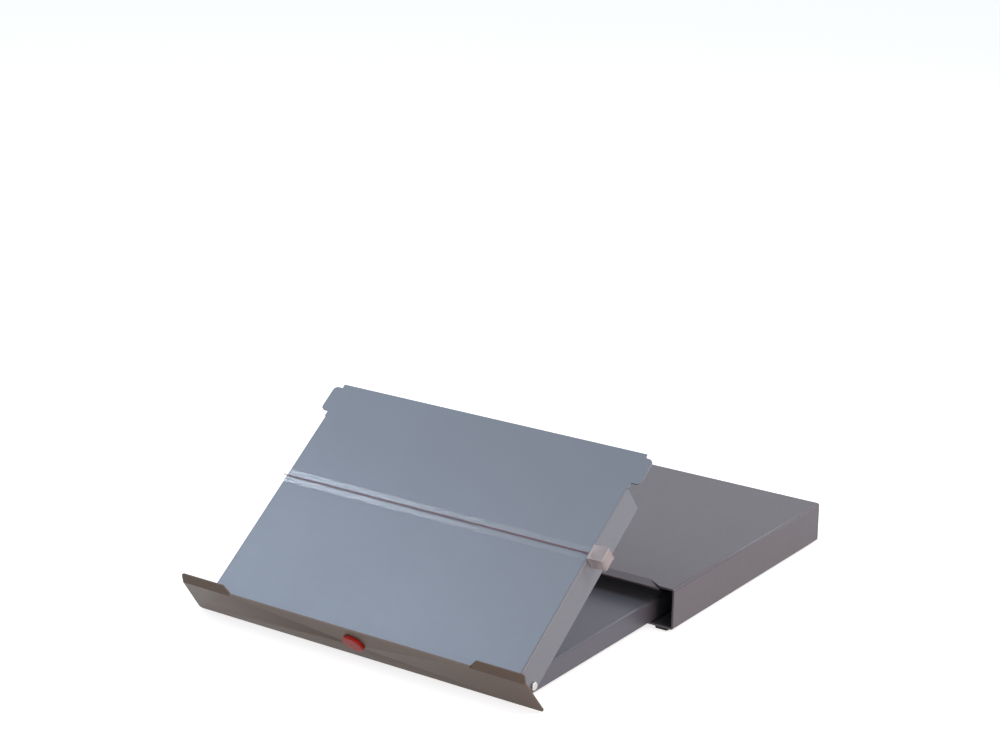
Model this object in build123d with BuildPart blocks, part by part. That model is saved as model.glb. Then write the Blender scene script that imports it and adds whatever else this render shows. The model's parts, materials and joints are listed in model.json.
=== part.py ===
"""Desk stand with a pull-out drawer that carries a tilting document panel.

Millimetres, +Z up, +X to the right, +Y to the back. The origin is on the desk, midway
between the ledge in front and the back of the stand, on the plane of left-right symmetry.
The drawer stands pulled out and the panel stands raised, with its prop swung up under it.
"""
import os
from math import atan, atan2, cos, hypot, radians, sin

from build123d import *

os.makedirs("parts", exist_ok=True)

# ---------------------------------------------------------------- driving dimensions
# base casing
base_width = 382.5
base_depth = 277.0
base_height = 39.5
base_sheet = 1.8
base_bend = 2.6
base_flange = 40.0
foot_height = 2.6
foot_width = 13.8
foot_length = 20.0
foot_corner = 2.0
foot_taper = 12.0
foot_inset = 6.3
foot_front_setback = 10.5
foot_rear_setback = 28.5
flap_setback = 9.2
flap_drop = 2.6
flap_fold_inset = 30.25
flap_front_inset = 15.75
flap_slit = 0.5
rear_inset = 3.0
rear_flange = 16.0
rear_side_gap = 0.9
rivet_radius = 1.6
rivet_head_reach = 1.4
rivet_head_height = 0.9
rivet_head_taper = 35.0

# drawer and what it runs on
drawer_rear_room = 11.0
drawer_engagement = 63.7
drawer_sheet = 1.5
drawer_bend = 2.4
glide_thickness = 0.6
glide_width = 12.0
glide_overhang = 2.0
glide_end = 1.0
glide_gap = 0.2
guide_depth = 18.0
guide_side_gap = 4.95
guide_gap = 0.35
guide_corner = 1.5
stop_width = 14.0
stop_length = 10.0
stop_height = 9.0
stop_corner = 1.5
stop_travel = 3.7

# document panel, measured along its slope and off its face
panel_tilt = 36.5
panel_inset = 21.75
panel_back_gap = 3.4
panel_closing_gap = 3.6
panel_sheet = 1.5
panel_bend = 2.4
panel_flange = 30.0
flange_front = -4.5
flange_cut_run = 14.0
flange_cut_rise = 17.0
flange_end_setback = 38.6
ear_reach = 9.0
ear_low_setback = 32.6
ear_high_setback = 4.6
ear_corner = 4.5
top_fold = 12.0
top_fold_inset = 2.5
front_fold = 12.0
front_fold_inset = 9.5

# hinge between the panel's side flanges and the drawer's walls
hinge_along = 8.5
hinge_in_wall = 8.0
hinge_to_drawer_front = 10.0
hinge_side_gap = 0.5
hinge_pin_radius = 2.5
hinge_pin_end = 3.6
hinge_head_reach = 1.2
hinge_head_height = 2.0
hinge_clip_reach = 1.9
hinge_clip_thickness = 0.8
running_clearance = 0.05
bush_wall = 2.9
bush_inside = 1.0
bush_collar_reach = 0.9
bush_collar_gap = 0.1

# front ledge
ledge_inset = 0.25
ledge_end_lean = 2.8
ledge_front = 11.3
ledge_desk_gap = 0.37
ledge_above = 19.38
ledge_bend_at = 16.88
ledge_ear_length = 9.4
ledge_ear_angle = 24.0
ledge_ear_width = 58.5
ledge_ear_run = 6.5
ledge_corner = 3.0
ledge_ear_corner = 2.0
disc_radius = 10.6
disc_height = 2.8
disc_dome = 1.6
disc_below = 1.2
screw_radius = 1.5
screw_head_reach = 1.4
screw_head_height = 1.5
screw_head_taper = 10.0
screw_head_gap = 0.8
screw_bite = 1.6
stud_radius = 2.0
stud_end = 1.9
stud_inset = 10.0
stud_below = 7.0
nut_height = 1.8
nut_reach = 2.0

# prop that holds the panel up
prop_half_spacing = 80.0
prop_foot_behind = 78.0
prop_foot_gap = 0.5
prop_closed_gap = 1.0
prop_mid_tilt = 28.75
arm_width = 9.0
arm_thickness = 2.5
arm_head_reach = 1.1
prop_pin_radius = 2.0
prop_pin_head_reach = 1.4
prop_pin_head_height = 1.2
bracket_gap = 0.3
bracket_sheet = 1.5
bracket_length = 26.0
bracket_foot = 15.0
bracket_ear_reach = 0.8
roller_wall = 1.35
roller_width = 4.0
rail_play = 0.35
rail_sheet = 1.0
rail_low = 130.0
rail_high = 178.0
rod_radius = 2.0

# line guide that slides up and down the panel
guide_at = 131.6
strip_width = 14.0
strip_thickness = 1.0
strip_gap = 0.2
line_width = 0.9
line_height = 0.1
lip_depth = 8.0
lip_thickness = 1.5
lip_gap = 0.3
slider_shift = 1.2
slider_length = 15.4
slider_depth = 14.8
slider_proud = 2.7
slider_thickness = 16.2
slider_facet = 1.6
slider_gap = 0.8
pad_size = 7.0
pad_margin = 0.7
pad_corner = 1.0
pad_thickness = 0.7

# ---------------------------------------------------------------- derived places
SIDES = (("left", -1), ("right", 1))
slope = radians(panel_tilt)
up_slope = Vector(0, cos(slope), sin(slope))
off_panel = Vector(0, -sin(slope), cos(slope))

casing_top = foot_height + base_height
casing_under_top = casing_top - base_sheet
casing_inner_half = base_width / 2 - base_sheet
flange_top = foot_height + base_sheet
foot_rear = base_depth - foot_rear_setback
foot_setbacks = (foot_front_setback, (foot_front_setback + foot_rear) / 2, foot_rear)
flap_half_at_fold = base_width / 2 - flap_fold_inset
flap_half_at_front = base_width / 2 - flap_front_inset
rivet_head_radius = rivet_radius + rivet_head_reach

# the panel lies flat under the casing's top when the drawer is in, and the prop lies under it
prop_foot_height = arm_width / 2 + prop_foot_gap
prop_pin_head_radius = prop_pin_radius + prop_pin_head_reach
bracket_ear_half = prop_pin_head_radius + bracket_ear_reach
roller_radius = rod_radius + running_clearance + roller_wall
arm_head_radius = roller_radius + arm_head_reach
drawer_bottom = flange_top + glide_thickness + glide_gap
hinge_height = drawer_bottom + hinge_in_wall
closed_face = casing_under_top - panel_closing_gap
hinge_below = closed_face - hinge_height
drawer_top = closed_face - panel_sheet - prop_closed_gap - bracket_ear_half - prop_foot_height
drawer_height = drawer_top - drawer_bottom
drawer_length = base_depth - drawer_rear_room
drawer_pulled_out = drawer_length - drawer_engagement
stop_from_front = drawer_engagement - guide_depth - stop_travel - stop_length / 2

panel_width = base_width - 2 * panel_inset
panel_half = panel_width / 2
panel_length = drawer_length - guide_depth - hinge_to_drawer_front + hinge_along - panel_back_gap
flange_end = panel_length - flange_end_setback
ear_low = panel_length - ear_low_setback
ear_high = panel_length - ear_high_setback
top_fold_half = panel_half - top_fold_inset
front_fold_half = panel_half - front_fold_inset
drawer_half = panel_half - panel_sheet - hinge_side_gap
drawer_inner_half = drawer_half - drawer_sheet

ledge_half_bottom = base_width / 2 - ledge_inset
ledge_half_top = ledge_half_bottom - ledge_end_lean
ledge_ear_inner = ledge_half_bottom - ledge_ear_width
ledge_drop = hinge_height - ledge_desk_gap - (hinge_along + ledge_front) * sin(slope)
ledge_below = hinge_below + ledge_drop / cos(slope)

# the foremost line of the ledge's ears and the back of the casing are equally far from the origin
ear_lean = radians(ledge_ear_angle)
ear_top_ahead = ledge_front - ledge_ear_length * sin(ear_lean)
ear_top_above = ledge_bend_at + ledge_ear_length * cos(ear_lean)
ledge_reach = (hinge_along + ear_top_ahead) * cos(slope) + (hinge_below + ear_top_above) * sin(slope)
hinge_ahead = drawer_pulled_out - hinge_to_drawer_front
base_front = (hinge_ahead + ledge_reach - base_depth) / 2
base_back = base_front + base_depth
drawer_front = base_front - drawer_pulled_out
drawer_back = drawer_front + drawer_length
hinge_y = base_front - hinge_ahead


def at(x, along, above):
    """A point by its place along the panel's slope and its height off the panel's face."""
    hinge = Vector(x, hinge_y, hinge_height)
    return hinge + up_slope * (along - hinge_along) + off_panel * (above + hinge_below)


slope_axis = Axis(at(0, 0, 0), up_slope)


def upright(y):
    """Vertical plane across the stand at y: X, then Z. Extrudes to the front."""
    return Plane(origin=(0, y, 0), x_dir=(1, 0, 0), z_dir=(0, -1, 0))


def side_on(x):
    """Vertical plane along the stand at x: Y, then Z. Extrudes towards +X."""
    return Plane(origin=(x, 0, 0), x_dir=(0, 1, 0), z_dir=(1, 0, 0))


def panel_face(above):
    """Plane parallel to the panel's face: X, then up the slope. Extrudes off the panel."""
    return Plane(origin=at(0, 0, above), x_dir=(1, 0, 0), z_dir=off_panel)


def panel_end(along):
    """Plane square to the slope: X, then off the panel. Extrudes down the slope."""
    return Plane(origin=at(0, along, 0), x_dir=(1, 0, 0), z_dir=-up_slope)


def panel_side(x):
    """Plane along the slope at x: up the slope, then off the panel. Extrudes towards +X."""
    return Plane(origin=at(x, 0, 0), x_dir=up_slope, z_dir=(1, 0, 0))


def finish(builder, name):
    """Name the finished piece and write it to its own file."""
    builder.part.label = name
    export_step(builder.part, f"parts/{name}.step")


def channel_profile(width, depth, sheet, bend):
    """Section of a sheet with both sides bent down, its top at the sketch's origin."""
    with Locations((0, -depth)):
        RectangleRounded(width, 2 * depth, bend)
        RectangleRounded(width - 2 * sheet, 2 * (depth - sheet), bend - sheet, mode=Mode.SUBTRACT)
        Rectangle(width, depth, align=(Align.CENTER, Align.MAX), mode=Mode.SUBTRACT)


def outline(*points):
    """Straight-sided face through the points, added to the sketch in hand."""
    Polygon(*points, align=None)


def discs(plane, places, radius, thickness, taper=0.0, mode=Mode.ADD):
    """Round discs of one size at several places of a plane, added to the part in hand or cut out."""
    with BuildSketch(plane) as marks:
        with Locations(*places):
            Circle(radius)
    extrude(marks.sketch, amount=thickness, taper=taper, mode=mode)


# ---------------------------------------------------------------- base casing
flap_angle = atan(flap_drop / flap_setback)
flap_length = hypot(flap_drop, flap_setback)
flap_fold_y = base_front + flap_setback
rear_panel_front = base_back - rear_inset - base_sheet
rear_rivet_x = casing_inner_half - base_flange / 2
rear_rivets = [(side * rear_rivet_x, rear_panel_front - rear_flange / 2) for _, side in SIDES]

with BuildPart() as base_casing:
    # top, sides and inward bottom flanges bent from one sheet
    with BuildSketch(upright(base_front)):
        with Locations((0, foot_height + base_height / 2)):
            RectangleRounded(base_width, base_height, base_bend)
            RectangleRounded(
                base_width - 2 * base_sheet, base_height - 2 * base_sheet, base_bend - base_sheet,
                mode=Mode.SUBTRACT,
            )
        with Locations((0, foot_height)):
            Rectangle(base_width - 2 * base_flange, 2 * base_sheet, mode=Mode.SUBTRACT)
    extrude(amount=-base_depth)
    # the front strip of the top is parted from its corners by slanted cuts
    with BuildSketch(Plane.XY.offset(casing_under_top)):
        outline(
            (-flap_half_at_fold, flap_fold_y), (flap_half_at_fold, flap_fold_y),
            (flap_half_at_front, base_front), (-flap_half_at_front, base_front),
        )
    extrude(amount=base_sheet, mode=Mode.SUBTRACT)
    # and bent down from its fold
    flap_plane = Plane(
        origin=(0, flap_fold_y, casing_top), x_dir=(1, 0, 0), z_dir=(0, -sin(flap_angle), cos(flap_angle))
    )
    flap_half_front = flap_half_at_front - flap_slit
    with BuildSketch(flap_plane):
        outline(
            (-flap_half_at_fold, 0), (flap_half_at_fold, 0),
            (flap_half_front, -flap_length), (-flap_half_front, -flap_length),
        )
    extrude(amount=-base_sheet)
    discs(Plane.XY.offset(foot_height), rear_rivets, rivet_radius, base_sheet, mode=Mode.SUBTRACT)
finish(base_casing, "base_casing")

rear_width = 2 * (casing_inner_half - rear_side_gap)
with BuildPart() as rear_panel:
    with BuildSketch(upright(rear_panel_front)):
        with Locations((0, flange_top)):
            Rectangle(rear_width, casing_under_top - flange_top, align=(Align.CENTER, Align.MIN))
    extrude(amount=-base_sheet)
    with BuildSketch(Plane.XY.offset(flange_top)):
        with Locations((0, rear_panel_front)):
            Rectangle(rear_width, rear_flange, align=(Align.CENTER, Align.MAX))
    extrude(amount=base_sheet)
    discs(Plane.XY.offset(flange_top), rear_rivets, rivet_radius, base_sheet, mode=Mode.SUBTRACT)
finish(rear_panel, "rear_panel")

with BuildPart() as rear_panel_rivets:
    discs(Plane.XY.offset(foot_height), rear_rivets, rivet_radius, 2 * base_sheet)
    discs(
        Plane.XY.offset(flange_top + base_sheet), rear_rivets, rivet_head_radius, rivet_head_height,
        rivet_head_taper,
    )
finish(rear_panel_rivets, "rear_panel_rivets")

foot_x = base_width / 2 - foot_inset - foot_width / 2
foot_places = [(side * foot_x, base_front + setback) for _, side in SIDES for setback in foot_setbacks]
with BuildPart() as rubber_feet:
    with BuildSketch(Plane.XY.offset(foot_height)):
        with Locations(*foot_places):
            RectangleRounded(foot_width, foot_length, foot_corner)
    extrude(amount=-foot_height, taper=foot_taper)
finish(rubber_feet, "rubber_feet")

glide_x = drawer_half + glide_overhang - glide_width / 2
glide_length = rear_panel_front - rear_flange - base_front - 2 * glide_end
stop_x = (drawer_half + glide_overhang + casing_inner_half) / 2
for name, side in SIDES:
    with BuildPart() as glide_strip:
        with BuildSketch(Plane.XY.offset(flange_top)):
            with Locations((side * glide_x, base_front + glide_end)):
                Rectangle(glide_width, glide_length, align=(Align.CENTER, Align.MIN))
        extrude(amount=glide_thickness)
    finish(glide_strip, f"glide_strip_{name}")

    with BuildPart() as pullout_stop:
        with BuildSketch(Plane.XY.offset(flange_top)):
            with Locations((side * stop_x, base_front + stop_from_front)):
                RectangleRounded(stop_width, stop_length, stop_corner)
        extrude(amount=stop_height)
        fillet(pullout_stop.faces().sort_by(Axis.Z)[-1].edges(), stop_corner / 2)
    finish(pullout_stop, f"pullout_stop_{name}")

# ---------------------------------------------------------------- drawer
bush_radius = hinge_pin_radius + running_clearance + bush_wall
bush_collar_radius = bush_radius + bush_collar_reach
pivot_y = hinge_y + prop_foot_behind
pivot_z = drawer_top + prop_foot_height
bracket_inner = prop_half_spacing + arm_thickness / 2 + bracket_gap
bracket_outer = bracket_inner + bracket_foot
bracket_rivet_x = (bracket_inner + bracket_sheet + bracket_outer) / 2
bracket_rivets = [
    (side * bracket_rivet_x, pivot_y + end * bracket_length / 4) for _, side in SIDES for end in (-1, 1)
]
guide_front = drawer_back - guide_depth
guide_rivet_z = (drawer_bottom + drawer_top) / 2
guide_rivets = [(guide_front + part * guide_depth / 4, guide_rivet_z) for part in (1, 3)]
guide_outer = casing_inner_half - guide_side_gap
guide_reach = guide_outer - drawer_half
guide_rivet_length = drawer_sheet + guide_reach / 2

with BuildPart() as drawer_shelf:
    # flat top with both sides bent down
    with BuildSketch(upright(drawer_front)):
        with Locations((0, drawer_top)):
            channel_profile(2 * drawer_half, drawer_height, drawer_sheet, drawer_bend)
    extrude(amount=-drawer_length)
    # front bent down between the sides
    with BuildSketch(upright(drawer_front)):
        with Locations((0, drawer_top - drawer_sheet)):
            Rectangle(
                2 * drawer_inner_half, drawer_height / 2 - drawer_sheet, align=(Align.CENTER, Align.MAX)
            )
    extrude(amount=-drawer_sheet)
    for _, side in SIDES:
        wall = side_on(side * drawer_inner_half)
        discs(wall, [(hinge_y, hinge_height)], bush_radius, side * drawer_sheet, mode=Mode.SUBTRACT)
        discs(wall, guide_rivets, rivet_radius, side * drawer_sheet, mode=Mode.SUBTRACT)
    discs(
        Plane.XY.offset(drawer_top), bracket_rivets, rivet_radius, -drawer_sheet, mode=Mode.SUBTRACT
    )
finish(drawer_shelf, "drawer_shelf")

guide_inner = drawer_half - guide_reach
guide_ceiling = casing_under_top - guide_gap
for name, side in SIDES:
    with BuildPart() as rear_guide:
        # block outside the wall that also reaches over the shelf, up to the casing's underside
        with BuildSketch(upright(guide_front)):
            outline(
                (side * drawer_half, drawer_bottom), (side * guide_outer, drawer_bottom),
                (side * guide_outer, guide_ceiling), (side * guide_inner, guide_ceiling),
                (side * guide_inner, drawer_top), (side * drawer_half, drawer_top),
            )
        extrude(amount=-guide_depth)
        upper = rear_guide.faces().sort_by(Axis.Z)[-1]
        fillet(upper.edges().filter_by(Axis.X), guide_corner)
        discs(
            side_on(side * drawer_half), guide_rivets, rivet_radius, side * guide_reach / 2,
            mode=Mode.SUBTRACT,
        )
    finish(rear_guide, f"rear_guide_{name}")

    # collared bush in the drawer's wall for the hinge pin
    bush_start = drawer_inner_half - bush_inside
    collar_thickness = hinge_side_gap - bush_collar_gap
    with BuildPart() as hinge_bush:
        hinge_place = [(hinge_y, hinge_height)]
        discs(side_on(side * bush_start), hinge_place, bush_radius, side * (drawer_half - bush_start))
        discs(side_on(side * drawer_half), hinge_place, bush_collar_radius, side * collar_thickness)
        discs(
            side_on(side * bush_start), hinge_place, hinge_pin_radius + running_clearance,
            side * (drawer_half + collar_thickness - bush_start), mode=Mode.SUBTRACT,
        )
    finish(hinge_bush, f"hinge_bush_{name}")

    # bracket on the shelf for the foot of the prop
    with BuildPart() as prop_bracket:
        with BuildSketch(Plane.XY.offset(drawer_top)):
            with Locations((side * (bracket_inner + bracket_outer) / 2, pivot_y)):
                Rectangle(bracket_outer - bracket_inner, bracket_length)
        extrude(amount=bracket_sheet)
        with BuildSketch(side_on(side * bracket_inner)):
            with Locations((pivot_y, drawer_top)):
                Rectangle(bracket_length, bracket_sheet, align=(Align.CENTER, Align.MIN))
                Rectangle(2 * bracket_ear_half, prop_foot_height, align=(Align.CENTER, Align.MIN))
            with Locations((pivot_y, pivot_z)):
                Circle(bracket_ear_half)
        extrude(amount=side * bracket_sheet)
        discs(
            side_on(side * bracket_inner), [(pivot_y, pivot_z)], prop_pin_radius + running_clearance,
            side * bracket_sheet, mode=Mode.SUBTRACT,
        )
        discs(
            Plane.XY.offset(drawer_top), [place for place in bracket_rivets if place[0] * side > 0],
            rivet_radius, bracket_sheet, mode=Mode.SUBTRACT,
        )
    finish(prop_bracket, f"prop_bracket_{name}")

with BuildPart() as rear_guide_rivets:
    for _, side in SIDES:
        wall = side_on(side * drawer_inner_half)
        discs(wall, guide_rivets, rivet_radius, side * guide_rivet_length)
        discs(wall, guide_rivets, rivet_head_radius, -side * rivet_head_height)
finish(rear_guide_rivets, "rear_guide_rivets")

with BuildPart() as prop_bracket_rivets:
    under_shelf = Plane.XY.offset(drawer_top - drawer_sheet)
    discs(under_shelf, bracket_rivets, rivet_radius, drawer_sheet + bracket_sheet)
    discs(
        Plane.XY.offset(drawer_top + bracket_sheet), bracket_rivets, rivet_head_radius, rivet_head_height,
        rivet_head_taper,
    )
    discs(under_shelf, bracket_rivets, rivet_radius + rivet_head_height / 2, -rivet_head_height)
finish(prop_bracket_rivets, "prop_bracket_rivets")

arm_inner = prop_half_spacing - arm_thickness / 2
pin_inner = arm_inner - bracket_gap
pin_outer = bracket_inner + bracket_sheet
with BuildPart() as prop_pivot_pins:
    for _, side in SIDES:
        pivot = [(pivot_y, pivot_z)]
        discs(side_on(side * pin_inner), pivot, prop_pin_radius, side * (pin_outer - pin_inner))
        discs(side_on(side * pin_inner), pivot, prop_pin_head_radius, -side * prop_pin_head_height)
        discs(side_on(side * pin_outer), pivot, prop_pin_head_radius, side * prop_pin_head_height)
finish(prop_pivot_pins, "prop_pivot_pins")

# ---------------------------------------------------------------- document panel
ledge_back = panel_sheet - ledge_front
stud_outer = front_fold_half - stud_inset
stud_places = [(side * reach, -stud_below) for _, side in SIDES for reach in (stud_outer, stud_outer / 3)]
stud_length = panel_sheet + nut_height + stud_end
nut_radius = stud_radius + nut_reach
disc_place = [(0, -disc_below)]
# the screw's head clears the underside of the panel's face
screw_head_radius = screw_radius + screw_head_reach
screw_place = [(0, -panel_sheet - screw_head_radius - screw_head_gap)]

with BuildPart() as document_panel:
    # face with both sides bent down, as far as the side flanges go
    with BuildSketch(panel_end(flange_end)):
        channel_profile(panel_width, panel_flange, panel_sheet, panel_bend)
    extrude(amount=flange_end - flange_front)
    # face beyond the flanges at both ends, with an ear at each side of the top
    with BuildSketch(panel_face(0)):
        outline(
            (panel_half - panel_bend, flange_front), (panel_half - panel_bend, ledge_back),
            (panel_bend - panel_half, ledge_back), (panel_bend - panel_half, flange_front),
        )
        with Locations((0, flange_end)):
            Rectangle(panel_width, panel_length - flange_end, align=(Align.CENTER, Align.MIN))
        with Locations((0, (ear_low + ear_high) / 2)):
            RectangleRounded(panel_width + 2 * ear_reach, ear_high - ear_low, ear_corner)
        for _, side in SIDES:
            # the face's upper corners slant back to where the top fold starts
            outline(
                (side * panel_half, ear_high), (side * panel_half, panel_length),
                (side * top_fold_half, panel_length),
            )
    extrude(amount=-panel_sheet)
    # folds along the top and the front
    with BuildSketch(panel_end(panel_length)):
        Rectangle(2 * top_fold_half, top_fold, align=(Align.CENTER, Align.MAX))
    extrude(amount=panel_sheet)
    with BuildSketch(panel_end(ledge_back + panel_sheet)):
        Rectangle(2 * front_fold_half, front_fold, align=(Align.CENTER, Align.MAX))
    extrude(amount=panel_sheet)
    # lower front corner of both flanges cut off, clear of the desk
    with BuildSketch(panel_side(-panel_half)):
        outline(
            (flange_front, -panel_flange), (flange_front, flange_cut_rise - panel_flange),
            (flange_front + flange_cut_run, -panel_flange),
        )
    extrude(amount=panel_width, mode=Mode.SUBTRACT)
    # holes for the hinge pins, the ledge's studs and the screw of the pull disc
    for _, side in SIDES:
        discs(
            panel_side(side * (panel_half - panel_sheet)), [(hinge_along, -hinge_below)],
            hinge_pin_radius + running_clearance, side * panel_sheet, mode=Mode.SUBTRACT,
        )
    discs(
        panel_end(ledge_back), stud_places, stud_radius + running_clearance, -panel_sheet,
        mode=Mode.SUBTRACT,
    )
    discs(
        panel_end(ledge_back), screw_place, screw_radius + running_clearance, -panel_sheet,
        mode=Mode.SUBTRACT,
    )
    top_edge = document_panel.edges().filter_by(Axis.X).sort_by(Axis.Z)[-1]
    fillet(top_edge, panel_sheet / 2)
finish(document_panel, "document_panel")

with BuildPart() as front_ledge:
    with BuildSketch(panel_end(-ledge_front)) as ledge_sketch:
        outline(
            (-ledge_half_bottom, -ledge_below), (ledge_half_bottom, -ledge_below),
            (ledge_half_top, ledge_bend_at), (ledge_ear_inner, ledge_bend_at),
            (ledge_ear_inner, ledge_above), (-ledge_ear_inner, ledge_above),
            (-ledge_ear_inner, ledge_bend_at), (-ledge_half_top, ledge_bend_at),
        )
        fillet(ledge_sketch.vertices().group_by(Axis.Y)[0], ledge_corner)
    extrude(amount=-panel_sheet)
    # ears at both ends, bent back over the panel
    ear_plane = Plane(
        origin=at(0, -ledge_front, ledge_bend_at),
        x_dir=(1, 0, 0),
        z_dir=off_panel * sin(ear_lean) - up_slope * cos(ear_lean),
    )
    for _, side in SIDES:
        with BuildSketch(ear_plane) as ear_sketch:
            outline(
                (side * ledge_ear_inner, 0), (side * ledge_half_top, 0),
                (side * ledge_half_top, ledge_ear_length),
                (side * (ledge_ear_inner + ledge_ear_run), ledge_ear_length),
                (side * ledge_ear_inner, (ledge_above - ledge_bend_at) / cos(ear_lean)),
            )
            upper = ear_sketch.vertices().group_by(Axis.Y)[-1]
            fillet(upper, ledge_ear_corner)
        extrude(amount=-panel_sheet)
    discs(
        panel_end(-ledge_front), screw_place, screw_radius + running_clearance, -panel_sheet,
        mode=Mode.SUBTRACT,
    )
finish(front_ledge, "front_ledge")

with BuildPart() as ledge_studs:
    discs(panel_end(ledge_back), stud_places, stud_radius, -stud_length)
finish(ledge_studs, "ledge_studs")

with BuildPart() as ledge_nuts:
    with BuildSketch(panel_end(ledge_back + panel_sheet)):
        with Locations(*stud_places):
            RegularPolygon(nut_radius, 6)
            Circle(stud_radius + running_clearance, mode=Mode.SUBTRACT)
    extrude(amount=-nut_height)
finish(ledge_nuts, "ledge_nuts")

with BuildPart() as pull_disc:
    discs(panel_end(-ledge_front), disc_place, disc_radius, disc_height)
    front_rim = pull_disc.faces().sort_by(slope_axis)[0].edges()
    fillet(front_rim, disc_dome)
    discs(panel_end(-ledge_front), screw_place, screw_radius, screw_bite, mode=Mode.SUBTRACT)
finish(pull_disc, "pull_disc")

with BuildPart() as pull_disc_screw:
    fold_back = panel_end(ledge_back + panel_sheet)
    discs(fold_back, screw_place, screw_radius, 2 * panel_sheet + screw_bite)
    discs(fold_back, screw_place, screw_head_radius, -screw_head_height, screw_head_taper)
finish(pull_disc_screw, "pull_disc_screw")

hinge_head_radius = hinge_pin_radius + hinge_head_reach
hinge_clip_radius = hinge_pin_radius + hinge_clip_reach
clip_start = drawer_inner_half - bush_inside - hinge_clip_thickness - bush_collar_gap
hinge_pin_length = panel_half - clip_start + hinge_pin_end
for name, side in SIDES:
    with BuildPart() as hinge_pin:
        place = [(hinge_along, -hinge_below)]
        discs(panel_side(side * panel_half), place, hinge_pin_radius, -side * hinge_pin_length)
        discs(panel_side(side * panel_half), place, hinge_head_radius, side * hinge_head_height)
        fillet(hinge_pin.faces().sort_by(Axis.X)[0 if side < 0 else -1].edges(), hinge_head_height / 3)
    finish(hinge_pin, f"hinge_pin_{name}")

    with BuildPart() as prop_rail:
        # channel under the panel, open towards the middle, in which the prop's roller runs
        rail_inner = 2 * (roller_radius + rail_play)
        rail_web = bracket_inner + roller_width + bracket_gap
        with BuildSketch(panel_end(rail_low)):
            with Locations((side * bracket_inner, -panel_sheet)):
                rail_align = (Align.MIN if side > 0 else Align.MAX, Align.MAX)
                Rectangle(
                    rail_web + rail_sheet - bracket_inner, rail_inner + 2 * rail_sheet, align=rail_align
                )
            with Locations((side * bracket_inner, -panel_sheet - rail_sheet)):
                Rectangle(rail_web - bracket_inner, rail_inner, align=rail_align, mode=Mode.SUBTRACT)
        extrude(amount=rail_low - rail_high)
    finish(prop_rail, f"prop_rail_{name}")

with BuildPart() as hinge_clips:
    for _, side in SIDES:
        with BuildSketch(panel_side(side * clip_start)):
            with Locations((hinge_along, -hinge_below)):
                Circle(hinge_clip_radius)
                Circle(hinge_pin_radius + running_clearance, mode=Mode.SUBTRACT)
        extrude(amount=side * hinge_clip_thickness)
finish(hinge_clips, "hinge_clips")

# ---------------------------------------------------------------- prop
# The roller keeps level in its rail when the arm turns twice as fast as the panel. The arm's
# length and slant make that exact at the middle of the panel's travel.
foot_reach = hypot(prop_foot_behind, pivot_z - hinge_height)
foot_angle = atan2(pivot_z - hinge_height, prop_foot_behind)
roller_above = -panel_sheet - rail_sheet - roller_radius - rail_play
mid_angle = radians(prop_mid_tilt) - foot_angle
arm_along = foot_reach * cos(mid_angle)
arm_off = roller_above + hinge_below + foot_reach * sin(mid_angle)
arm_length = hypot(arm_along, arm_off)
arm_slant = 2 * slope - radians(prop_mid_tilt) + atan2(arm_off, arm_along)
roller_y = pivot_y + arm_length * cos(arm_slant)
roller_z = pivot_z + arm_length * sin(arm_slant)

for name, side in SIDES:
    with BuildPart() as prop_arm:
        with BuildSketch(side_on(side * arm_inner)):
            # the head takes its size from the roller beside it, so that it clears the panel
            with Locations((pivot_y, pivot_z)):
                Circle(arm_width / 2)
            with Locations((roller_y, roller_z)):
                Circle(arm_head_radius)
            make_hull()
            with Locations((pivot_y, pivot_z)):
                Circle(prop_pin_radius + running_clearance, mode=Mode.SUBTRACT)
            with Locations((roller_y, roller_z)):
                Circle(rod_radius + running_clearance, mode=Mode.SUBTRACT)
        extrude(amount=side * arm_thickness)
    finish(prop_arm, f"prop_arm_{name}")

rod_half = bracket_inner + roller_width
with BuildPart() as prop_cross_rod:
    discs(side_on(-rod_half), [(roller_y, roller_z)], rod_radius, 2 * rod_half)
finish(prop_cross_rod, "prop_cross_rod")

with BuildPart() as prop_rollers:
    for _, side in SIDES:
        with BuildSketch(side_on(side * bracket_inner)):
            with Locations((roller_y, roller_z)):
                Circle(roller_radius)
                Circle(rod_radius + running_clearance, mode=Mode.SUBTRACT)
        extrude(amount=side * roller_width)
finish(prop_rollers, "prop_rollers")

# ---------------------------------------------------------------- line guide
strip_left = -panel_half - lip_gap - lip_thickness
slider_inner = panel_half + slider_gap
strip_top = strip_gap + strip_thickness
slider_at = guide_at + slider_shift
slider_top = strip_top + slider_proud
slider_bottom = slider_top - slider_depth

with BuildPart() as guide_strip:
    with BuildSketch(panel_face(strip_gap)):
        with Locations((strip_left, guide_at)):
            Rectangle(slider_inner - strip_left, strip_width, align=(Align.MIN, Align.CENTER))
    extrude(amount=strip_thickness)
    # lip down the outside of the left flange
    with BuildSketch(panel_face(strip_gap)):
        with Locations((strip_left, guide_at)):
            Rectangle(lip_thickness, strip_width, align=(Align.MIN, Align.CENTER))
    extrude(amount=-lip_depth)
finish(guide_strip, "guide_strip")

with BuildPart() as guide_line:
    with BuildSketch(panel_face(strip_top)):
        with Locations((strip_left, guide_at)):
            Rectangle(slider_inner - strip_left, line_width, align=(Align.MIN, Align.CENTER))
    extrude(amount=line_height)
finish(guide_line, "guide_line")

with BuildPart() as guide_slider:
    with BuildSketch(panel_side(slider_inner)):
        with Locations((slider_at, slider_top)):
            Rectangle(slider_length, slider_depth, align=(Align.CENTER, Align.MAX))
    extrude(amount=slider_thickness)
    chamfer(guide_slider.faces().sort_by(Axis.X)[-1].edges(), slider_facet)
finish(guide_slider, "guide_slider")

with BuildPart() as slider_pad:
    with BuildSketch(panel_side(slider_inner)):
        with Locations((slider_at, slider_bottom + pad_margin + pad_size / 2)):
            RectangleRounded(pad_size, pad_size, pad_corner)
    extrude(amount=-pad_thickness)
finish(slider_pad, "slider_pad")
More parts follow.
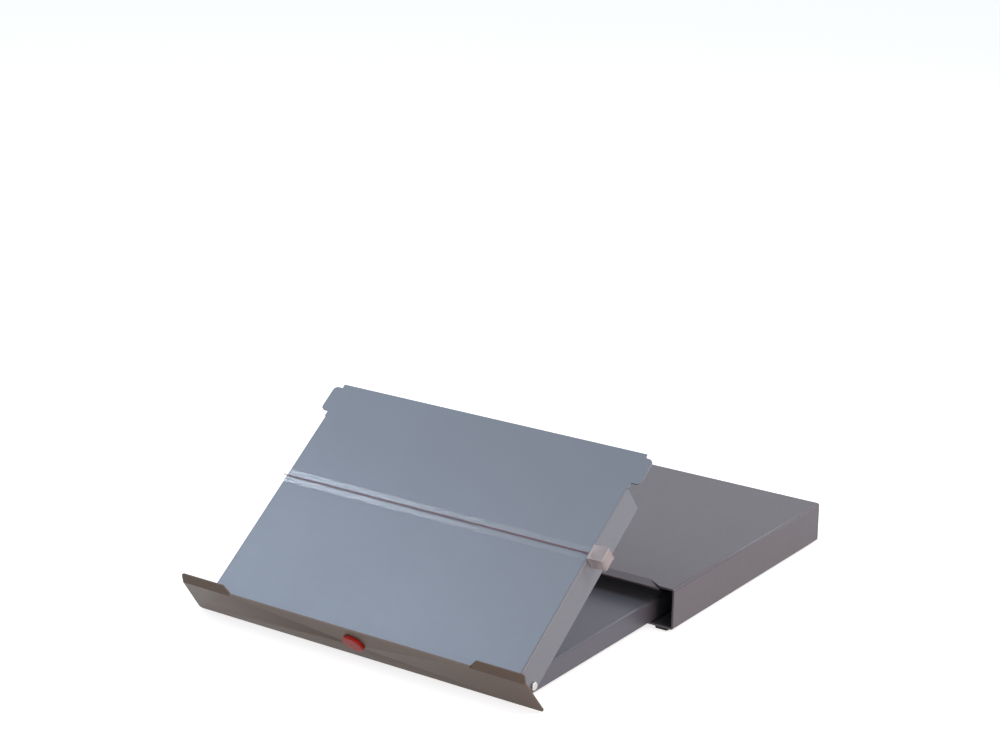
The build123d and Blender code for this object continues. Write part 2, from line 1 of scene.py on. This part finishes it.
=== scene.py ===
"""Looks of a low desk stand whose pull-out drawer carries a tilting document panel.

Metres, +Z up, +X to the right, +Y to the back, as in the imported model. Every piece keeps its
shape and place; this script gives it its finish, and sets the floor, the lights and the camera.
"""

import json
import math

import bpy
from mathutils import Matrix, Vector

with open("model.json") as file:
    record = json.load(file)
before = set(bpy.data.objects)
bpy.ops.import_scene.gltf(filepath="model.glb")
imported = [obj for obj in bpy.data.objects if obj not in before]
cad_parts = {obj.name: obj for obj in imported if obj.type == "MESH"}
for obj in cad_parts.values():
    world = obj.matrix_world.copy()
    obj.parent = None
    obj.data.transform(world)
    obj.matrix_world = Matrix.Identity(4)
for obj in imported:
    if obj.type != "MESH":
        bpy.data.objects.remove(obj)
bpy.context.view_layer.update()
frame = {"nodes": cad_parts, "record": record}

# ---------------------------------------------------------------- sizes
EDGE_ROUND = 0.00022  # rounding of cut sheet edges
SHARP_ANGLE = math.radians(35)
SAME_PLACE = 0.000002
FLAT_ANGLE = math.radians(0.4)

CAMERA_PLACE = (1.2273, -1.7928, 0.8831)
CAMERA_RIGHT = (0.819783, 0.572583, 0.010210)
CAMERA_UP = (-0.179121, 0.239437, 0.954246)
CAMERA_LENS = 88.40
CAMERA_SENSOR = 36.0

FLOOR_HALF = 6.0
FLOOR_GAP = 0.0002

# ---------------------------------------------------------------- floor and world light
FLOOR_COLOUR = (0.72, 0.72, 0.72, 1.0)
FLOOR_LIFT = 0.74  # brings the lit floor up to white
FLOOR_BOUNCE = (0.40, 0.29, 0.24, 1.0)
AMBIENT_COLOUR = (0.82, 0.91, 1.0, 1.0)
AMBIENT_STRENGTH = 0.32
WHITE = (1.0, 1.0, 1.0, 1.0)
STAND_MIDDLE = Vector((0.0, -0.05, 0.06))

# name, place, width, watts, colour
LIGHTS = (
    ("key_light", (-1.7, -1.1, 2.0), 1.5, 24.0, (0.74, 0.86, 1.0)),
    ("side_light", (2.4, -0.7, 0.55), 1.3, 21.0, (1.0, 0.66, 0.54)),
    ("bend_light", (1.5, 0.35, 1.5), 0.8, 13.0, (1.0, 0.98, 0.96)),
    ("back_light", (0.5, 1.9, 1.3), 0.9, 8.0, (0.96, 0.97, 1.0)),
)


# ---------------------------------------------------------------- materials
class Shader:
    """One node material with a Principled shader, filled in step by step."""

    def __init__(self, name, roughness, metallic=0.0):
        self.material = bpy.data.materials.new(name)
        self.material.use_nodes = True
        self.tree = self.material.node_tree
        self.surface = self.tree.nodes["Principled BSDF"]
        self.set("Roughness", roughness)
        self.set("Metallic", metallic)
        self.place = self.tree.nodes.new("ShaderNodeTexCoord").outputs["Object"]

    def set(self, socket, value):
        self.surface.inputs[socket].default_value = value

    def link(self, out, into):
        self.tree.links.new(out, into)

    def node(self, kind, **values):
        made = self.tree.nodes.new(kind)
        for key, value in values.items():
            if key in made.inputs:
                made.inputs[key].default_value = value
            else:
                setattr(made, key, value)
        return made

    def stretched(self, scale):
        """Object coordinates squeezed along each axis, for grain that runs one way."""
        mapping = self.node("ShaderNodeMapping")
        mapping.inputs["Scale"].default_value = scale
        self.link(self.place, mapping.inputs["Vector"])
        return mapping.outputs["Vector"]

    def noise(self, scale, detail=3.0, roughness=0.5, vector=None):
        made = self.node("ShaderNodeTexNoise", Scale=scale, Detail=detail, Roughness=roughness)
        self.link(vector or self.place, made.inputs["Vector"])
        return made.outputs["Fac"]

    def ramp(self, source, low, high, start=0.3, end=0.7):
        """A two-stop ramp from one tone or value to another."""
        made = self.node("ShaderNodeValToRGB")
        first, last = made.color_ramp.elements
        first.position, last.position = start, end
        first.color, last.color = low, high
        self.link(source, made.inputs["Fac"])
        return made.outputs["Color"]

    def blend(self, first, second, share):
        made = self.node("ShaderNodeMix", data_type="RGBA")
        made.inputs["Factor"].default_value = share
        self.link(first, made.inputs["A"])
        self.link(second, made.inputs["B"])
        return made.outputs["Result"]

    def colour(self, out):
        self.link(out, self.surface.inputs["Base Color"])

    def roughness_between(self, source, low, high):
        made = self.node("ShaderNodeMapRange")
        made.inputs["To Min"].default_value = low
        made.inputs["To Max"].default_value = high
        self.link(source, made.inputs["Value"])
        self.link(made.outputs["Result"], self.surface.inputs["Roughness"])

    def bump(self, height, distance, strength, below=None):
        made = self.node("ShaderNodeBump")
        made.inputs["Distance"].default_value = distance
        made.inputs["Strength"].default_value = strength
        self.link(height, made.inputs["Height"])
        if below:
            self.link(below, made.inputs["Normal"])
        return made.outputs["Normal"]

    def normal(self, out):
        self.link(out, self.surface.inputs["Normal"])


def tone(red, green, blue):
    return (red, green, blue, 1.0)


def shade(colour, amount):
    return tuple(channel * amount for channel in colour[:3]) + (1.0,)


def satin_paint(name, colour, roughness=0.42, metallic=0.25, coat=0.08):
    """Satin metallic stove enamel: fine flake, slight mottling and orange peel."""
    made = Shader(name, roughness, metallic)
    flake = made.ramp(made.noise(3600, 2.0, 0.7), shade(colour, 0.90), shade(colour, 1.12), 0.35, 0.65)
    cloud = made.ramp(made.noise(9.0, 4.0, 0.55), shade(colour, 0.95), shade(colour, 1.05))
    made.colour(made.blend(flake, cloud, 0.5))
    made.roughness_between(made.noise(120.0, 5.0, 0.6), roughness - 0.05, roughness + 0.06)
    peel = made.bump(made.noise(420.0, 2.0, 0.5), 0.00006, 0.30)
    made.normal(made.bump(made.noise(3600.0, 1.0, 0.5), 0.00002, 0.35, peel))
    made.set("Specular IOR Level", 0.22)
    made.set("Coat Weight", coat)
    made.set("Coat Roughness", 0.18)
    return made.material


def plated(name, colour, roughness, grain, metallic=1.0):
    """Plated or bare metal with fine turned or drawn grain and a few dull patches."""
    made = Shader(name, roughness, metallic)
    lines = made.noise(60.0, 6.0, 0.7, made.stretched(grain))
    patches = made.noise(160.0, 4.0, 0.6)
    made.colour(made.blend(
        made.ramp(lines, shade(colour, 0.82), shade(colour, 1.08)),
        made.ramp(patches, shade(colour, 0.88), shade(colour, 1.05)),
        0.4,
    ))
    made.roughness_between(patches, roughness - 0.07, roughness + 0.12)
    made.normal(made.bump(lines, 0.00003, 0.4))
    return made.material


def moulded(name, colour, roughness, pebble, depth=0.00006, shine=0.5):
    """Moulded plastic or rubber with a pebbled skin."""
    made = Shader(name, roughness)
    pebbles = made.noise(pebble, 3.0, 0.6)
    haze = made.noise(40.0, 4.0, 0.6)
    made.colour(made.blend(
        made.ramp(pebbles, shade(colour, 0.85), shade(colour, 1.15)),
        made.ramp(haze, shade(colour, 0.90), shade(colour, 1.12)),
        0.5,
    ))
    made.roughness_between(haze, roughness - 0.06, roughness + 0.08)
    made.normal(made.bump(pebbles, depth, 0.5))
    made.set("Specular IOR Level", shine)
    return made.material


def clear_acrylic(name, colour, roughness, alpha, clear, waves):
    """Cast acrylic, clear or milky, with the faint waviness of its faces."""
    made = Shader(name, roughness)
    made.colour(made.ramp(made.noise(18.0, 3.0, 0.5), shade(colour, 0.97), shade(colour, 1.0)))
    made.roughness_between(made.noise(90.0, 4.0, 0.6), roughness, roughness + 0.05)
    made.normal(made.bump(made.noise(70.0, 2.0, 0.4), 0.00005, waves))
    made.set("Transmission Weight", clear)
    made.set("IOR", 1.49)
    made.set("Alpha", alpha)
    return made.material


def felt(name, colour):
    """Pressed felt: short matted fibres."""
    made = Shader(name, 0.95)
    fibres = made.noise(900.0, 8.0, 0.8, made.stretched((1.0, 2.5, 1.0)))
    made.colour(made.ramp(fibres, shade(colour, 0.6), shade(colour, 1.4)))
    made.normal(made.bump(fibres, 0.0002, 0.8))
    made.set("Sheen Weight", 0.4)
    return made.material


CASING = tone(0.150, 0.145, 0.168)
# Drawer tone: the same paint as the casing, made darker and bluer. This is painted shade with a
# painted cool tint of the light from above.
DRAWER_SHADED = tone(0.138, 0.145, 0.180)
# Panel tone: the same paint as the casing, made lighter and bluer. This is a painted sheen standing in
# for the reflection of the cool light above the stand.
PANEL_WITH_SHEEN = tone(0.228, 0.254, 0.300)
# Ledge tone: the same paint as the casing, made dark warm brown. This is painted shade of the
# downward-facing plate, with a painted reflection of the dark floor below it.
LEDGE_SHADED = tone(0.146, 0.102, 0.076)
ZINC = tone(0.62, 0.62, 0.60)
STEEL = tone(0.50, 0.50, 0.51)

FINISHES = {
    "casing_paint": satin_paint("casing_paint", CASING),
    "drawer_paint": satin_paint("drawer_paint", DRAWER_SHADED),
    "panel_paint": satin_paint("panel_paint", PANEL_WITH_SHEEN, coat=0.15),
    "ledge_paint": satin_paint("ledge_paint", LEDGE_SHADED),
    "rivet_aluminium": plated("rivet_aluminium", tone(0.74, 0.74, 0.75), 0.34, (1.0, 1.0, 6.0)),
    "plated_steel": plated("plated_steel", ZINC, 0.34, (8.0, 1.0, 1.0)),
    "prop_steel": plated("prop_steel", STEEL, 0.36, (1.0, 1.0, 9.0)),
    "foot_rubber": moulded("foot_rubber", tone(0.022, 0.022, 0.023), 0.72, 1400.0),
    "glide_plastic": moulded("glide_plastic", tone(0.030, 0.030, 0.033), 0.42, 700.0),
    "black_plastic": moulded("black_plastic", tone(0.035, 0.035, 0.038), 0.50, 1100.0),
    "bush_nylon": moulded("bush_nylon", tone(0.075, 0.075, 0.080), 0.45, 900.0),
    "red_plastic": moulded(
        "red_plastic", tone(0.620, 0.020, 0.012), 0.36, 1000.0, depth=0.00003, shine=0.2
    ),
    "line_print": moulded("line_print", tone(0.200, 0.060, 0.080), 0.55, 1500.0, depth=0.00002),
    "clear_strip": clear_acrylic(
        "clear_strip", tone(0.94, 0.92, 0.94), roughness=0.10, alpha=0.08, clear=1.0, waves=0.05
    ),
    "clear_block": clear_acrylic(
        "clear_block", tone(0.66, 0.60, 0.61), roughness=0.16, alpha=0.88, clear=0.50, waves=0.2
    ),
    "pad_felt": felt("pad_felt", tone(0.10, 0.10, 0.11)),
}
SLOTS = {part["node"]: part["material_slot"] for part in frame["record"]["subparts"]}
SMOOTH_ONLY = {"guide_line", "slider_pad", "rubber_feet"}


def round_edges(piece, width):
    """Rounds the piece's sharp edges, and keeps its flat faces flat."""
    weld = piece.modifiers.new("weld", "WELD")
    weld.merge_threshold = SAME_PLACE
    flat = piece.modifiers.new("flat", "DECIMATE")
    flat.decimate_type = "DISSOLVE"
    flat.angle_limit = FLAT_ANGLE
    bevel = piece.modifiers.new("round", "BEVEL")
    bevel.limit_method = "ANGLE"
    bevel.angle_limit = SHARP_ANGLE
    bevel.width = width
    bevel.segments = 2
    bevel.use_clamp_overlap = True
    bevel.harden_normals = True


for name, piece in frame["nodes"].items():
    for slot in piece.material_slots:
        slot.material = FINISHES[SLOTS[name]]
    if name not in SMOOTH_ONLY:
        round_edges(piece, EDGE_ROUND)

# ---------------------------------------------------------------- floor, light and camera
floor_mesh = bpy.data.meshes.new("floor")
floor_mesh.from_pydata(
    [(x * FLOOR_HALF, y * FLOOR_HALF, -FLOOR_GAP) for x, y in ((-1, -1), (1, -1), (1, 1), (-1, 1))],
    [],
    [(0, 1, 2, 3)],
)
floor = bpy.data.objects.new("floor", floor_mesh)
bpy.context.scene.collection.objects.link(floor)


def seen_directly(tree):
    """1 for rays from the camera, and for those that gloss or clear pieces send on."""
    path = tree.nodes.new("ShaderNodeLightPath")
    total = path.outputs["Is Camera Ray"]
    for ray in ("Is Glossy Ray", "Is Transmission Ray"):
        add = tree.nodes.new("ShaderNodeMath")
        add.operation = "MAXIMUM"
        tree.links.new(total, add.inputs[0])
        tree.links.new(path.outputs[ray], add.inputs[1])
        total = add.outputs["Value"]
    return total


def floor_material():
    """Pale matt floor that shows the shadow, and throws a warm brown light up at the stand."""
    made = bpy.data.materials.new("pale_floor")
    made.use_nodes = True
    tree = made.node_tree
    tree.nodes.clear()
    out = tree.nodes.new("ShaderNodeOutputMaterial")
    seen = tree.nodes.new("ShaderNodeBsdfDiffuse")
    seen.inputs["Color"].default_value = FLOOR_COLOUR
    lift = tree.nodes.new("ShaderNodeEmission")
    lift.inputs["Color"].default_value = WHITE
    lift.inputs["Strength"].default_value = FLOOR_LIFT
    both = tree.nodes.new("ShaderNodeAddShader")
    bounce = tree.nodes.new("ShaderNodeBsdfDiffuse")
    bounce.inputs["Color"].default_value = FLOOR_BOUNCE
    mix = tree.nodes.new("ShaderNodeMixShader")
    tree.links.new(seen.outputs[0], both.inputs[0])
    tree.links.new(lift.outputs[0], both.inputs[1])
    tree.links.new(seen_directly(tree), mix.inputs["Fac"])
    tree.links.new(bounce.outputs[0], mix.inputs[1])
    tree.links.new(both.outputs[0], mix.inputs[2])
    tree.links.new(mix.outputs[0], out.inputs["Surface"])
    return made


floor_mesh.materials.append(floor_material())


def studio_world():
    """White as the camera, gloss and clear pieces see it, and a cool dim light for the rest."""
    world = bpy.data.worlds.new("studio")
    bpy.context.scene.world = world
    world.use_nodes = True
    sky = world.node_tree
    sky.nodes.clear()
    out = sky.nodes.new("ShaderNodeOutputWorld")
    ambient = sky.nodes.new("ShaderNodeBackground")
    ambient.inputs["Color"].default_value = AMBIENT_COLOUR
    ambient.inputs["Strength"].default_value = AMBIENT_STRENGTH
    white = sky.nodes.new("ShaderNodeBackground")
    white.inputs["Color"].default_value = WHITE
    white.inputs["Strength"].default_value = 1.0
    mix = sky.nodes.new("ShaderNodeMixShader")
    sky.links.new(seen_directly(sky), mix.inputs["Fac"])
    sky.links.new(ambient.outputs[0], mix.inputs[1])
    sky.links.new(white.outputs[0], mix.inputs[2])
    sky.links.new(mix.outputs[0], out.inputs["Surface"])


def area_light(name, place, width, watts, colour):
    """A round soft lamp aimed at the middle of the stand."""
    lamp = bpy.data.lights.new(name, "AREA")
    lamp.shape = "DISK"
    lamp.size = width
    lamp.energy = watts
    lamp.color = colour
    lamp_object = bpy.data.objects.new(name, lamp)
    lamp_object.location = place
    aim = STAND_MIDDLE - Vector(place)
    lamp_object.rotation_euler = aim.to_track_quat("-Z", "Y").to_euler()
    bpy.context.scene.collection.objects.link(lamp_object)


def photo_camera():
    """The camera at the photograph's angle, with no depth of field."""
    camera_data = bpy.data.cameras.new("camera")
    camera_data.lens = CAMERA_LENS
    camera_data.sensor_width = CAMERA_SENSOR
    camera = bpy.data.objects.new("camera", camera_data)
    right, up = Vector(CAMERA_RIGHT).normalized(), Vector(CAMERA_UP).normalized()
    turn = Matrix((right, up, right.cross(up))).transposed()
    camera.matrix_world = Matrix.Translation(CAMERA_PLACE) @ turn.to_4x4()
    bpy.context.scene.collection.objects.link(camera)
    bpy.context.scene.camera = camera


studio_world()
for light in LIGHTS:
    area_light(*light)
photo_camera()

bpy.context.scene.view_settings.view_transform = "Standard"
